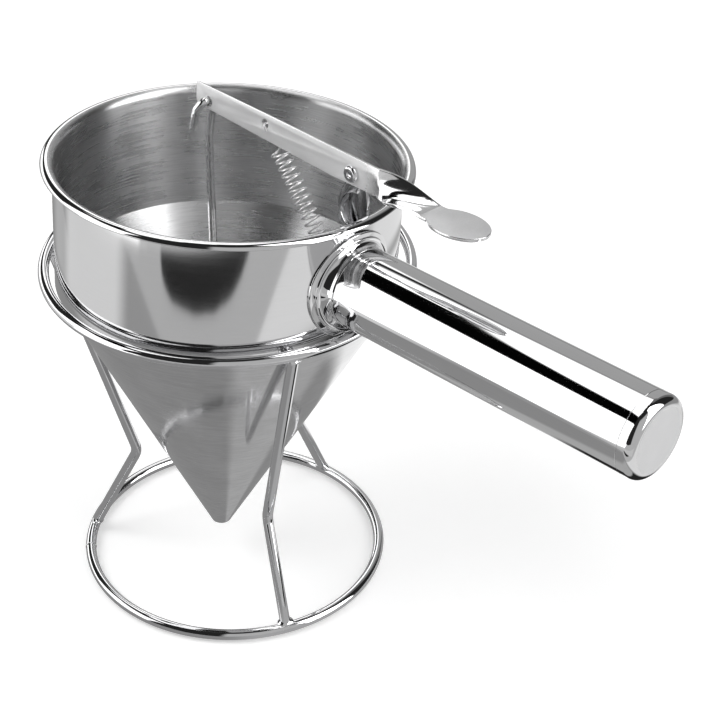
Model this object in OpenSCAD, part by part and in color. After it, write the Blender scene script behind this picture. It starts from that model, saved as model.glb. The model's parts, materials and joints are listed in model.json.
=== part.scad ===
// Hand-held batter funnel resting in a wire stand.
// Millimetres, +Z up. The origin is on the floor at the stand's axis,
// and +X runs along the handle, away from the bowl.

/* [Stand] */
// Diameter of the stand's wire
wire_d = 4; // [3:0.5:5]
// Height of the stand from the floor to the top of its upper ring
stand_h = 131.4; // [120:0.1:150]
// Centre-line diameter of the base ring
base_ring_d = 113; // [96:1:140]
// Free space between the bowl's wall and the top ring
ring_gap = 2.5; // [2.2:0.1:5]
// Distance of the legs' knees from the stand's axis
knee_r = 37.5; // [32:0.5:44]
// Height of the legs' knees above the floor
knee_z = 40.5; // [30:0.5:55]
// Inside radius of the bend at each knee
knee_bend = 5; // [3:0.5:10]
// Direction of the first leg, measured from the handle
leg_angle = -24; // [-40:1:-20]

/* [Bowl] */
// Outside diameter of the bowl's wall
wall_d = 122; // [116:0.5:130]
// Height of the wall from the shoulder to the rim
wall_h = 47.5; // [46:0.5:60]
// How far the rim turns out past the wall
lip_w = 4; // [3:0.1:6]
// Outside radius of the curve that turns the rim out
lip_bend = 3; // [2:0.1:3]
// Thickness of the sheet of the bowl, cone and handle
sheet = 0.8; // [0.6:0.1:1.2]
// Height of the cone from the outlet to the shoulder
cone_h = 107.5; // [90:0.5:112]
// Outside diameter of the cone at the outlet
outlet_d = 7; // [6.4:0.1:10]
// How far the funnel leans over in its stand, about the handle's direction
lean = 3.2; // [0:0.2:4]
// Clearance between the shoulder and the legs that carry it
seat_gap = 0.4; // [0.2:0.05:0.5]

/* [Handle] */
// Diameter of the handle's tube
handle_d = 28.3; // [24:0.1:29]
// Length of the handle, from the bowl's axis to the seam of the end cap
handle_length = 180; // [150:1:210]
// Length of the end cap in front of its seam
cap_len = 5.6; // [4:0.1:9]
// Radius of the end cap's rounded edge
cap_edge = 3; // [1:0.1:3.5]
// Diameter of the flange that holds the handle to the wall
flange_d = 38; // [34:0.5:42]
// Thickness of the flange's plate
flange_t = 1.2; // [0.8:0.1:1.6]
// Clearance between the handle and the top ring below it
handle_gap = 0.6; // [0.5:0.05:1]
// Length of the spigots that hold the tube at its two ends
spigot_len = 8; // [5:0.5:15]

/* [Lever] */
// Thickness of the lever's strip
lever_t = 1.2; // [1:0.1:1.6]
// Height of the strip at the pivot
lever_h = 9.8; // [9:0.1:12]
// Height of the strip at the hook end
lever_end_h = 8.4; // [7.6:0.1:9.6]
// Distance from the bowl's wall in to the pivot
pivot_in = 2.2; // [2:0.1:4]
// Height of the pivot above the rim
pivot_up = 15.5; // [14:0.1:20]
// Distance from the pivot back to the rod's hole
hook_reach = 68.4; // [64:0.1:72]
// Height of the rod's hole above the pivot
hook_up = 1.8; // [0.8:0.1:2.4]
// Distance from the pivot back to the spring's hole
spring_reach = 40.5; // [38:0.5:45]
// Height of the spring's hole above the pivot
spring_up = 3.3; // [2.4:0.1:3.8]
// Distance from the pivot to where the strip starts to twist flat
twist_from = 11; // [9.5:0.5:14]
// Length of the twisted stretch
twist_len = 23; // [18:0.5:28]
// Depth of the hollow pressed into the twist
twist_dish = 2; // [0:0.1:2.5]
// Length of the thumb pad
pad_len = 22.4; // [18:0.2:26]
// Width of the thumb pad
pad_w = 17; // [12:0.2:22]

/* [Pivot] */
// Diameter of the rivet's shank
rivet_d = 3.2; // [2.8:0.1:4]
// Diameter of the rivet's head
rivet_head_d = 5.8; // [5:0.1:7]
// Radial clearance of the lever on the rivet
pivot_fit = 0.05; // [0.02:0.01:0.1]
// Side play of the lever on the rivet
side_play = 0.1; // [0.1:0.05:0.3]
// Thickness of the bracket's sheet
bracket_t = 1.2; // [1:0.1:1.5]
// Width of the bracket across its two sides
bracket_w = 5.4; // [5:0.1:8]
// How far the bracket's belly stands in from the wall
bracket_in = 9.6; // [8.6:0.1:12]
// Radius of the bracket's belly
bracket_belly = 17.5; // [15:0.1:20]

/* [Valve] */
// Diameter of the rod's wire
rod_d = 3; // [2.4:0.1:3.2]
// Radial clearance of the rod in the lever's hole
rod_fit = 0.4; // [0.3:0.05:0.6]
// Length of the hook's free leg
hook_leg = 12.5; // [6:0.5:16]
// Greatest diameter of the plug
plug_d = 12; // [10:0.2:14]
// Clearance between the closed plug and the cone
plug_gap = 0.3; // [0.2:0.05:0.4]

/* [Spring] */
// Diameter of the spring's wire
spring_wire = 0.8; // [0.6:0.05:0.9]
// Outside diameter of the coil
spring_d = 6.5; // [5.5:0.1:7]
// Number of turns in the coil
spring_turns = 17; // [12:1:19]
// Height of the spring's lug above the shoulder
lug_z = 20; // [16:0.5:24]

/* [Hidden] */
$fn = 96;

wire_r = wire_d / 2;
wall_r = wall_d / 2;
wall_in = wall_r - sheet;
outlet_r = outlet_d / 2;
handle_r = handle_d / 2;
leg_step = 120;
// The bend is a hair fuller than the runs that end inside it, so the leg is one solid
bend_swell = 0.02;
bend_overlap = 0.15;

// The two rings and the straight upper run of a leg, as (radius, height)
base_ring = [base_ring_d / 2, wire_r];
top_ring = [wall_r + ring_gap + wire_r, stand_h - wire_r];
knee = [knee_r, knee_z];
leg_slope = (top_ring.x - knee.x) / (top_ring.y - knee.y);
leg_face = knee.x - wire_r * sqrt(1 + leg_slope * leg_slope);

// The shoulder rests against the legs' inner faces. The funnel leans about the handle,
// and slides sideways by seat_shift until it is as close to all three legs.
seat_z = knee.y + (wall_r + seat_gap - leg_face) / leg_slope;
seat_shift = -leg_slope * wall_r * sin(lean);

// Everything below is in the funnel's own frame: origin at the centre of the shoulder
cone_half = atan((wall_r - outlet_r) / cone_h);
sheet_flat = sheet / cos(cone_half);
cone_in_top = wall_r - sheet_flat;
cone_in_tip = outlet_r - sheet_flat;

handle_z = (stand_h + handle_gap + handle_r - seat_z) / cos(lean);
tube_bore_r = handle_r - sheet;
spigot_fit = 0.1;
spigot_r = tube_bore_r - spigot_fit;
flange_face = wall_r + flange_t;
flange_ridge = 0.5;
neck_bend = 3;
// The neck's curve starts a little inside the flange's plate
neck_sink = 0.4;
neck_end = flange_face + neck_bend - neck_sink;

pivot = [wall_in - pivot_in, wall_h + pivot_up];
hook_hole = [pivot.x - hook_reach, pivot.y + hook_up];
spring_hole = [pivot.x - spring_reach, pivot.y + spring_up];
hook_hole_r = rod_d / 2 + rod_fit;
spring_hole_r = 1.6;
// Length of a cut that goes through any plate
through = 20;

// The strip's middle stands above the pivot, and the pad's middle below it
strip_up = 0.7;
pad_up = -1.1;
// How far the strip runs past the rod's hole, how its end sits on it, and its cut lower corner
hook_end = 6;
hook_end_up = 1.3;
end_corner = [2.4, 2];
// The lower edge is level from just inside the pivot, and level again at the hook end
taper_start = 9.5;
taper_end = 9;
// How much wider each side of the strip grows in the twist
twist_flare = 0.35;
pad_waist = 2.2;
// Gap in degrees between the pad's waist and its oval
waist_gap = 4;

washer_t = 0.8;
washer_d = rivet_head_d + 0.8;
bracket_y = lever_t / 2 + side_play + washer_t;
// Middle of the belly's curve, which is close to the rim's level
belly = [wall_in - bracket_in + bracket_belly, wall_h + 0.5];
// Both sides end below the lever and lean in above the rim. The near side has a round cut,
// open towards the wall, and a neck up to the pivot's eye.
side_top = pivot.y - 4.4;
side_lean = 2;
cut_r = 6.8;
cut_at = [pivot.x + 0.6, wall_h + 1];
eye_r = 3.6;
neck_r = 1.5;
neck_low = [pivot.x - 3, side_top - 1.6];
neck_wall = [pivot.x - 0.4, side_top - 1.6];
rivet_head_t = 1.5;
rivet_rim = 0.4;
rivet_dome = rivet_head_t - rivet_rim;
rivet_dimple_r = 0.9;
rivet_dimple_z = 0.6;
// Formed tail: its thickness, and how far it spreads past the shank at its two faces
rivet_tail_t = 0.9;
rivet_tail = [0.3, 0.7];

// Gap between the lever and the wires that hook through it
hook_gap = 0.3;
// Free end of the rod's hook, seen from its bend: how far back and how far out it splays
hook_splay = [3.2, 2.2];
hook_bend = 1.5;
rod_bend = 1.4;
rod_straight = 6;
plug_in = plug_gap / cos(cone_half);
plug_lift = 0.5;
plug_tip_r = cone_in_tip + plug_lift * tan(cone_half) - plug_in;
plug_tip_z = plug_lift - cone_h;
plug_edge_z = plug_tip_z + (plug_d / 2 - plug_tip_r) / tan(cone_half);
plug_band = 0.8;
plug_crown = 2.4;
plug_crown_in = 1.6;
plug_top_z = plug_edge_z + plug_crown;
plug_socket = 6;

lug_t = 1.2;
lug_h = 6.4;
lug_hole_r = 1.4;
lug_hole_in = 3.4;
coil_r = (spring_d - spring_wire) / 2;
coil_start = 10.7;
coil_end = 5;
// Straight stretch left between each hook's leg and the coil, and the hooks' free legs
coil_lead = 2.2;
upper_tail = 2.6;
lower_tail = 3;
spring_bend = 1.2;

// ---------- helpers ----------

// Points of an arc in the plane, from angle a to angle b
function arc(centre, r, a, b, steps = 12) =
    [for (i = [0 : steps]) let(t = a + (b - a) * i / steps) centre + r * [cos(t), sin(t)]];

function unit(v) = v / norm(v);

// A path whose inner corners are replaced by short curves that start `cut` from the corner
function soft_path(p, cut, steps = 5) = concat([p[0]],
    [for (i = [1 : len(p) - 2]) let(a = p[i] - cut * unit(p[i] - p[i - 1]),
                                    b = p[i] + cut * unit(p[i + 1] - p[i]))
        for (k = [0 : steps]) let(t = k / steps)
            (1 - t) * (1 - t) * a + 2 * t * (1 - t) * p[i] + t * t * b],
    [p[len(p) - 1]]);

// Points between a and b, without them, on a curve that leaves along `out` and arrives along `into`
function blend(a, out, b, into, pull, steps = 8) =
    [for (k = [1 : steps - 1]) let(t = k / steps, q = 1 - t)
        q * q * q * a + 3 * q * q * t * (a + pull * out) + 3 * q * t * t * (b - pull * into)
        + t * t * t * b];

// The direction of a path at point i
function heading(p, i) = unit(p[min(i + 1, len(p) - 1)] - p[max(i - 1, 0)]);

// A vector at right angles to `along`, as close to `v` as it can be
function square_to(v, along) = unit(v - (v * along) * along);

// The sideways vectors of a path's rings, each turned as little as possible from the last
function ring_sides(p, first) =
    [for (i = 0, s = square_to(first, heading(p, 0)); i < len(p);
          i = i + 1, s = i < len(p) ? square_to(s, heading(p, i)) : s) s];

// Wire of radius r swept along path p. `first` is any vector not along the path's start.
module wire(p, r, sides = 8, first = [0, 1, 0]) {
    across = ring_sides(p, first);
    rings = [for (i = [0 : len(p) - 1]) let(u = across[i], v = cross(heading(p, i), u))
        for (k = [0 : sides - 1]) let(t = 360 * k / sides) p[i] + r * (cos(t) * u + sin(t) * v)];
    last = (len(p) - 1) * sides;
    walls = [for (i = [0 : len(p) - 2]) for (k = [0 : sides - 1])
        let(a = i * sides + k, b = i * sides + (k + 1) % sides) each
            [[a, a + sides, b + sides], [a, b + sides, b]]];
    polyhedron(rings, concat(walls, [[for (k = [0 : sides - 1]) k]],
                             [[for (k = [sides - 1 : -1 : 0]) last + k]]));
}

// A bent strip through rings of `sides` points, half of them on each face of the strip
module strip(rings, sides) {
    count = len(rings) / sides;
    walls = [for (i = [0 : count - 2]) for (k = [0 : sides - 1])
        let(a = i * sides + k, b = i * sides + (k + 1) % sides) each
            [[a, a + sides, b + sides], [a, b + sides, b]]];
    far = (count - 1) * sides;
    ends = [for (k = [0 : sides / 2 - 2]) let(a = k, b = k + 1, c = sides - 2 - k, d = sides - 1 - k) each
        [[a, b, c, d], [far + d, far + c, far + b, far + a]]];
    polyhedron(rings, concat(walls, ends));
}

// Turns a flat shape drawn as (x, height) into a plate that stands in the XZ plane
module upright(thickness) {
    rotate([90, 0, 0]) linear_extrude(height = thickness, center = true) children();
}

// A hole or pin across the lever's plate, at (x, height)
module across(at, r, length) {
    translate([at.x, 0, at.y]) rotate([90, 0, 0]) cylinder(r = r, h = length, center = true);
}

// A shape turned about the handle's axis, from points (radius, distance from the bowl's axis)
module turned_on_handle(points) {
    translate([0, 0, handle_z]) rotate([0, 90, 0]) rotate_extrude() polygon(points);
}

// Sets the funnel down into its stand
module seated() {
    translate([0, seat_shift, seat_z]) rotate([-lean, 0, 0]) children();
}

// ---------- stand ----------

module ring(at, r = wire_r) {
    translate([0, 0, at.y]) rotate_extrude($fn = 144) translate([at.x, 0]) circle(r = r, $fn = 48);
}

module stand_base_ring() {
    color("silver") ring(base_ring);
}

module stand_top_ring() {
    color("silver") ring(top_ring);
}

// A straight run of wire in the XY plane
module run(a, b) {
    d = b - a;
    translate([a.x, a.y, 0]) rotate([0, 0, atan2(d.y, d.x)]) rotate([0, 90, 0])
        cylinder(r = wire_r, h = norm(d), $fn = 48);
}

// One leg: up from the base ring, in to the knee, and out again to the top ring
module leg() {
    down = unit(base_ring - knee);
    up = unit(top_ring - knee);
    half = acos(down * up) / 2;
    bend_r = knee_bend + wire_r;
    reach = bend_r / tan(half);
    centre = knee + unit(down + up) * bend_r / sin(half);
    low = knee + down * reach;
    high = knee + up * reach;
    low_angle = atan2(low.y - centre.y, low.x - centre.x);
    turn = 180 - 2 * half;
    difference() {
        rotate([90, 0, 0]) {
            run(base_ring, low - down * bend_overlap);
            run(high - up * bend_overlap, top_ring);
            translate([centre.x, centre.y, 0]) rotate([0, 0, low_angle - turn])
                rotate_extrude(angle = turn, $fn = 144) translate([bend_r, 0])
                    circle(r = wire_r + bend_swell, $fn = 48);
        }
        ring(base_ring);
        ring(top_ring);
    }
}

module stand_leg(index) {
    color("silver") rotate([0, 0, leg_angle + index * leg_step]) leg();
}

module stand_leg_near() {
    stand_leg(0);
}

module stand_leg_back() {
    stand_leg(1);
}

module stand_leg_far() {
    stand_leg(2);
}

// ---------- bowl ----------

module bowl_wall() {
    curl = [wall_in + lip_bend, wall_h - lip_bend];
    edge = [wall_r + lip_w - sheet / 2, wall_h - sheet / 2];
    color("gainsboro") seated() rotate_extrude() polygon(concat(
        [[wall_in, 0]],
        arc(curl, lip_bend, 180, 90, 8),
        arc(edge, sheet / 2, 90, -90, 6),
        arc(curl, lip_bend - sheet, 90, 180, 8),
        [[wall_r, 0]]));
}

module funnel_cone() {
    color("darkgray") seated() rotate_extrude() polygon([
        [wall_r, 0], [outlet_r, -cone_h], [cone_in_tip, -cone_h], [cone_in_top, 0]]);
}

// ---------- handle ----------

// Flange that follows the wall, with a hollow neck that carries the tube
module handle_flange() {
    neck = concat(
        [[spigot_r - sheet, 0], [handle_r + neck_bend, 0]],
        arc([handle_r + neck_bend, neck_end], neck_bend, 270, 180, 8),
        [[spigot_r, neck_end], [spigot_r, neck_end + spigot_len],
         [spigot_r - sheet, neck_end + spigot_len]]);
    color("silver") seated() difference() {
        union() {
            intersection() {
                cylinder(r = flange_face, h = wall_h);
                turned_on_handle([[0, 0], [flange_d / 2, 0], [flange_d / 2, wall_r * 2], [0, wall_r * 2]]);
            }
            intersection() {
                cylinder(r = flange_face + flange_ridge, h = wall_h);
                turned_on_handle([[0, 0], [handle_r + neck_bend, 0],
                                  [handle_r + neck_bend, wall_r * 2], [0, wall_r * 2]]);
            }
            turned_on_handle(neck);
        }
        cylinder(r = wall_r, h = 2 * wall_h, center = true);
        turned_on_handle([[0, 0], [spigot_r - sheet, 0], [spigot_r - sheet, handle_length],
                          [0, handle_length]]);
    }
}

module handle_tube() {
    color("white") seated() turned_on_handle([
        [tube_bore_r, neck_end], [handle_r, neck_end],
        [handle_r, handle_length], [tube_bore_r, handle_length]]);
}

module handle_end_cap() {
    face = handle_length + cap_len;
    color("gainsboro") seated() turned_on_handle(concat(
        [[0, face]],
        arc([handle_r - cap_edge, face - cap_edge], cap_edge, 90, 0, 8),
        [[handle_r, handle_length], [spigot_r, handle_length],
         [spigot_r, handle_length - spigot_len], [spigot_r - sheet, handle_length - spigot_len],
         [spigot_r - sheet, face - cap_edge], [0, face - cap_edge]]));
}

// ---------- pivot ----------

// Bellied bracket pressed from sheet and welded inside the wall, open towards the wall.
// Its near side has a round cut, and rises to the eye that carries the lever.
module pivot_bracket() {
    color("silver") seated() difference() {
        union() {
            intersection() {
                translate([0, bracket_y + bracket_w / 2, 0]) difference() {
                    upright(bracket_w) bracket_side();
                    upright(bracket_w - 2 * bracket_t) bracket_hollow();
                }
                cylinder(r = wall_in, h = 4 * wall_h);
            }
            near_side() hull() {
                translate(pivot) circle(r = eye_r);
                for (at = [neck_low, neck_wall]) translate(at) circle(r = neck_r);
            }
        }
        near_side(1) translate(cut_at) circle(r = cut_r);
        across(pivot, rivet_d / 2, through);
    }
}

// A flat shape, drawn as (x, height), in the bracket's near side
module near_side(extra = 0) {
    translate([0, bracket_y + (bracket_t - extra) / 2, 0]) upright(bracket_t + extra) children();
}

// Side view of the bracket: its belly towards the bowl's axis, and its back against the wall
module bracket_side() {
    intersection() {
        translate(belly) circle(r = bracket_belly);
        polygon([[0, 0], [wall_r, 0], [wall_r, wall_h - lip_bend],
                 [wall_in - side_lean, side_top], [0, side_top]]);
    }
}

// The room inside the bracket, open at the top and towards the wall
module bracket_hollow() {
    intersection() {
        translate(belly) circle(r = bracket_belly - bracket_t);
        square([wall_r + 1, 4 * wall_h]);
    }
}

module pivot_washer() {
    color("silver") seated() difference() {
        translate([0, lever_t / 2 + side_play + washer_t / 2, 0])
            across(pivot, washer_d / 2, washer_t);
        across(pivot, rivet_d / 2, through);
    }
}

// Rivet with a domed, dimpled head outside the lever and a formed tail inside the bracket
module pivot_rivet() {
    head = lever_t / 2 + side_play;
    tail = bracket_y + bracket_t;
    color("silver") seated() translate([pivot.x, 0, pivot.y]) rotate([90, 0, 0]) {
        translate([0, 0, -tail]) cylinder(r = rivet_d / 2, h = tail + head);
        translate([0, 0, head]) rotate_extrude() polygon(concat(
            [[0, 0], [rivet_head_d / 2, 0], [rivet_head_d / 2, rivet_rim]],
            arc([rivet_head_d / 2 - rivet_dome, rivet_rim], rivet_dome, 0, 90, 6),
            [[rivet_dimple_r, rivet_dimple_z], [0, rivet_dimple_z]]));
        translate([0, 0, -tail - rivet_tail_t])
            cylinder(r1 = rivet_d / 2 + rivet_tail[0], r2 = rivet_d / 2 + rivet_tail[1], h = rivet_tail_t);
    }
}

// ---------- lever ----------

// Section of the twist at t = 0 (upright strip) to 1 (flat pad): a dished strip, 2 x steps points
function twist_ring(t, past = 0, steps = 5) =
    let(turn = 90 * sin(90 * t), dish = twist_dish * sin(180 * t),
        middle = [pivot.x + twist_from + twist_len * t + past,
                  pivot.y + strip_up + (pad_up - strip_up) * t],
        half = lever_h / 2 + twist_flare * t,
        side = [sin(turn), cos(turn)], face = [-cos(turn), sin(turn)])
    [for (layer = [0, 1]) for (i = [0 : steps - 1])
        let(s = (layer == 0 ? 1 : -1) * (1 - 2 * i / (steps - 1)),
            out = (layer == 0 ? 0.5 : -0.5) * lever_t - dish * (1 - s * s) + dish / 2,
            q = s * half * side + out * face)
        [middle.x, q.x, middle.y + q.y]];

module lever() {
    twist_x = pivot.x + twist_from;
    end_x = hook_hole.x - hook_end;
    pad_x = twist_x + twist_len;
    pad_z = pivot.y + pad_up;
    top = pivot.y + strip_up + lever_h / 2;
    end_top = hook_hole.y + hook_end_up + lever_end_h / 2;
    end_low = end_top - lever_end_h;
    rings = 12;
    flat_end = 0.02;
    color("lightgray") seated() difference() {
        union() {
            upright(lever_t) polygon([
                [end_x, end_top], [twist_x, top], [twist_x, top - lever_h],
                [pivot.x - taper_start, top - lever_h], [end_x + taper_end, end_low],
                [end_x + end_corner.x, end_low], [end_x, end_low + end_corner.y]]);
            strip([each twist_ring(0, -flat_end), for (i = [0 : rings]) each twist_ring(i / rings),
                   each twist_ring(1, flat_end)], 10);
            translate([pad_x, 0, pad_z - lever_t / 2]) linear_extrude(height = lever_t)
                thumb_pad();
        }
        across(pivot, rivet_d / 2 + pivot_fit, through);
        across(hook_hole, hook_hole_r, through);
        across(spring_hole, spring_hole_r, through);
    }
}

// Oval pad with a short waist towards the twist, which ends at x = 0
module thumb_pad() {
    half = lever_h / 2 + twist_flare;
    start = asin(half / (pad_w / 2)) + waist_gap;
    oval = [for (a = [start - 180 : 6 : 180 - start])
        [pad_len / 2 + cos(a) * pad_len / 2, sin(a) * pad_w / 2]];
    polygon(concat([[0, half], [0, -half], [pad_waist, -half]], oval, [[pad_waist, half]]));
}

// ---------- valve ----------

module valve_rod() {
    side = lever_t / 2 + hook_gap + rod_d / 2;
    leg_z = hook_hole.y - hook_bend - hook_leg;
    path = soft_path([
        [hook_hole.x - hook_splay[0], -side - hook_splay[1], leg_z],
        [hook_hole.x - 0.6, -side, hook_hole.y],
        [hook_hole.x, 0, hook_hole.y],
        [hook_hole.x - 0.3, side, hook_hole.y],
        [hook_hole.x - 2.4, side - 0.1, leg_z],
        [0, 0, plug_top_z + rod_straight],
        [0, 0, plug_top_z - plug_socket]], rod_bend, 4);
    color("silver") seated() wire(path, rod_d / 2, 12, [1, 0, 0]);
}

// Tapered plug that closes the outlet from inside
module valve_plug() {
    color("silver") seated() difference() {
        rotate_extrude() polygon([
            [0, plug_tip_z], [plug_tip_r, plug_tip_z],
            [plug_d / 2, plug_edge_z], [plug_d / 2, plug_edge_z + plug_band],
            [plug_d / 2 - plug_crown_in, plug_top_z], [0, plug_top_z]]);
        translate([0, 0, plug_top_z - plug_socket]) cylinder(r = rod_d / 2, h = plug_socket + 1);
    }
}

// ---------- spring ----------

// Ear on the inside of the wall that takes the spring's lower hook
module spring_lug() {
    color("silver") seated() difference() {
        intersection() {
            upright(lug_t) union() {
                translate([wall_in - lug_hole_in, lug_z]) circle(r = lug_h / 2);
                translate([wall_in - lug_hole_in, lug_z - lug_h / 2]) square([lug_hole_in + 1, lug_h]);
            }
            cylinder(r = wall_in, h = wall_h);
        }
        across([wall_in - lug_hole_in, lug_z], lug_hole_r, through);
    }
}

// Tension spring: a hook through the lever, the coil below the lever, and a hook through the lug.
// The wire comes down the lever's far face, and crosses under its edge to the coil's near side.
module return_spring() {
    r = spring_wire / 2;
    side = [0, lever_t / 2 + hook_gap + r, 0];
    out = [0, coil_r, 0];
    high = [spring_hole.x, 0, spring_hole.y];
    low = [wall_in - lug_hole_in, 0, lug_z];
    along = unit(low - high);
    square = cross(along, [0, 1, 0]);
    coil_top = high + along * coil_start;
    length = norm(low - high) - coil_start - coil_end;
    per_turn = 10;
    steps = (spring_turns + 0.5) * per_turn;
    coil = [for (i = [0 : steps]) let(a = 360 * i / per_turn - 180)
        coil_top + along * length * i / steps + cos(a) * out + coil_r * sin(a) * square];
    upper = soft_path([high - side + along * upper_tail, high - side, high + side,
                       high + side + along * (coil_start - coil_lead)], spring_bend, 4);
    lower = soft_path([low + side - along * (coil_end - coil_lead), low + side, low - side,
                       low - side - along * lower_tail], spring_bend, 4);
    lead_in = blend(upper[len(upper) - 1], along, coil[0], -square, 1.3, 6);
    lead_out = blend(coil[steps], square, lower[0], along, 1.1, 5);
    color("silver") seated() wire(concat(upper, lead_in, coil, lead_out, lower), r, 6, [0, 0, 1]);
}

stand_base_ring();
stand_top_ring();
stand_leg_near();
stand_leg_back();
stand_leg_far();
bowl_wall();
funnel_cone();
handle_flange();
handle_tube();
handle_end_cap();
pivot_bracket();
pivot_washer();
pivot_rivet();
lever();
valve_rod();
valve_plug();
spring_lug();
return_spring();
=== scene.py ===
"""Looks of a batter funnel in its wire stand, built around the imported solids.

Each sub-assembly is a class: it holds its sizes in millimetres, shapes its pieces as bmeshes and
hands them to the Bench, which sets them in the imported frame, dresses them and makes them ride.
"""

import json
import logging
import math
from collections.abc import Callable, Sequence
from dataclasses import dataclass, replace
from enum import Enum

import bmesh
import bpy
from mathutils import Matrix, Quaternion, Vector, geometry, noise


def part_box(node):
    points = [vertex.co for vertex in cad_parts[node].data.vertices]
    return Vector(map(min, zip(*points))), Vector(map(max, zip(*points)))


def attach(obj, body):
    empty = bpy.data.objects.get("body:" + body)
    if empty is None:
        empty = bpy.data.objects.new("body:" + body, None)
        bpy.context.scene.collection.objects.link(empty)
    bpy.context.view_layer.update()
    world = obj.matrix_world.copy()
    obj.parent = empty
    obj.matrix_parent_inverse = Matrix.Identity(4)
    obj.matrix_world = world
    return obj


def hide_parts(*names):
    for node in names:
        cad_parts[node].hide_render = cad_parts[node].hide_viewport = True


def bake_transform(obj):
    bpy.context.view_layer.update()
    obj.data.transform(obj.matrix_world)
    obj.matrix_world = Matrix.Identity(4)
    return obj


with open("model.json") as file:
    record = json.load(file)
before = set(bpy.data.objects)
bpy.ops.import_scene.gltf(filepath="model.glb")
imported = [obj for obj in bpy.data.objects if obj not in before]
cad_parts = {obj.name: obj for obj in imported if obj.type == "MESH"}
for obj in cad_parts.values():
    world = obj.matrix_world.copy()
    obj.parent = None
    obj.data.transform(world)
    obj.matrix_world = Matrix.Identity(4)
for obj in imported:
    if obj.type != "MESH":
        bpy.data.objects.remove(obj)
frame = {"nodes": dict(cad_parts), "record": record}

LOG = logging.getLogger("batter_funnel")
MM = 0.001
FULL_TURN = 2 * math.pi
UP = Vector((0, 0, 1))
ALONG_HANDLE = Matrix.Rotation(math.pi / 2, 4, "Y")
ACROSS_LEVER = Matrix.Rotation(math.pi / 2, 4, "X")
ROW_FRAME = Matrix.Identity(4)
STAND_FRAME = Matrix.Scale(MM, 4)
Shape = bmesh.types.BMesh
Path = list[Vector]
Point = tuple[float, float]


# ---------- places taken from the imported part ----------


@dataclass(frozen=True)
class Datum:
    """Places that the funnel's pieces are measured from, and the sizes that several of them share.

    The funnel's own frame is in millimetres: its origin is the centre of the shoulder, +Z runs up the
    bowl's axis and +X along the handle. `seat` takes that frame into the row's frame in metres.
    """

    seat: Matrix
    pivot: Vector
    hook: Vector
    handle_z: float
    handle_r: float
    rim_z: float
    outlet_z: float
    wall_r: float = 61.0
    sheet: float = 0.8
    outlet_r: float = 3.5
    lever_t: float = 1.2
    hook_gap: float = 0.3

    @classmethod
    def from_record(cls, record: dict) -> "Datum":
        """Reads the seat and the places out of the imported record.

        Args:
            record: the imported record, with its mounts and joints.

        Returns:
            The datum of this part.
        """
        mounts = {mount["name"]: mount for mount in record["mounts"]}
        joints = {joint["name"]: joint for joint in record["behaviour"]["joints"]}
        up = -Vector(mounts["bowl_shoulder"]["axis"])
        x_axis = Vector((1, 0, 0))
        turn = Matrix((x_axis, up.cross(x_axis), up)).transposed().to_4x4()
        seat = Matrix.Translation(mounts["bowl_shoulder"]["pos_m"]) @ turn @ Matrix.Scale(MM, 4)
        back = seat.inverted()
        return cls(
            seat=seat,
            pivot=back @ Vector(joints["lever_press"]["pos_m"]),
            hook=back @ Vector(joints["rod_swing"]["pos_m"]),
            handle_z=(back @ Vector(mounts["handle_grip"]["pos_m"])).z,
            handle_r=mounts["handle_grip"]["dims"]["r_mm"],
            rim_z=(back @ Vector(mounts["bowl_mouth"]["pos_m"])).z,
            outlet_z=(back @ Vector(mounts["outlet"]["pos_m"])).z,
        )

    @property
    def handle(self) -> Matrix:
        """Takes a shape turned about +Z to the handle's axis, with +Z along the handle."""
        return Matrix.Translation((0, 0, self.handle_z)) @ ALONG_HANDLE

    @property
    def axis(self) -> Matrix:
        """The bowl's axis in the row's frame, in metres."""
        return self.seat @ Matrix.Scale(1 / MM, 4)

    @property
    def slope(self) -> float:
        """How much the cone's radius grows with each millimetre of height."""
        return (self.wall_r - self.outlet_r) / -self.outlet_z


# ---------- shaping tools ----------


def fillet(corners: Sequence[Vector], radii: Sequence[float], steps: int = 8) -> Path:
    """Rounds the inner corners of an open path with arcs.

    Args:
        corners: the path's points, in two or three dimensions.
        radii: the bend radius at each inner corner.
        steps: the number of pieces in each arc.

    Returns:
        The points of the rounded path.
    """
    path = [Vector(corners[0]).to_3d()]
    for before, corner, after, radius in zip(corners, corners[1:], corners[2:], radii):
        corner = Vector(corner).to_3d()
        back = (Vector(before).to_3d() - corner).normalized()
        ahead = (Vector(after).to_3d() - corner).normalized()
        half = back.angle(ahead) / 2
        centre = corner + (back + ahead).normalized() * radius / math.sin(half)
        start = corner + back * radius / math.tan(half) - centre
        end = corner + ahead * radius / math.tan(half) - centre
        sweep = start.angle(end)
        for step in range(steps + 1):
            share = step / steps
            arm = (start * math.sin((1 - share) * sweep) + end * math.sin(share * sweep)) / math.sin(sweep)
            path.append(centre + arm)
    path.append(Vector(corners[-1]).to_3d())
    return path


def arc(centre: Point, radius: float, start: float, end: float, steps: int = 10) -> list[Point]:
    """Points of an arc in a profile's plane.

    Args:
        centre: the arc's centre, as (radius from the axis, height).
        radius: the arc's own radius.
        start: the first angle, in degrees.
        end: the last angle, in degrees.
        steps: the number of pieces in the arc.

    Returns:
        The points from start to end.
    """
    angles = [math.radians(start + (end - start) * step / steps) for step in range(steps + 1)]
    return [(centre[0] + radius * math.cos(a), centre[1] + radius * math.sin(a)) for a in angles]


def straight(start: Point, end: Point, hold: float = 0.4) -> list[Point]:
    """A straight run of a profile, with a point close to each end to keep its shading straight.

    Args:
        start: the first point, as (radius from the axis, height).
        end: the last point.
        hold: the distance from each end to its neighbour.

    Returns:
        The four points of the run.
    """
    step = (Vector(end) - Vector(start)).normalized() * hold
    return [start, tuple(Vector(start) + step), tuple(Vector(end) - step), end]


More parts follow.
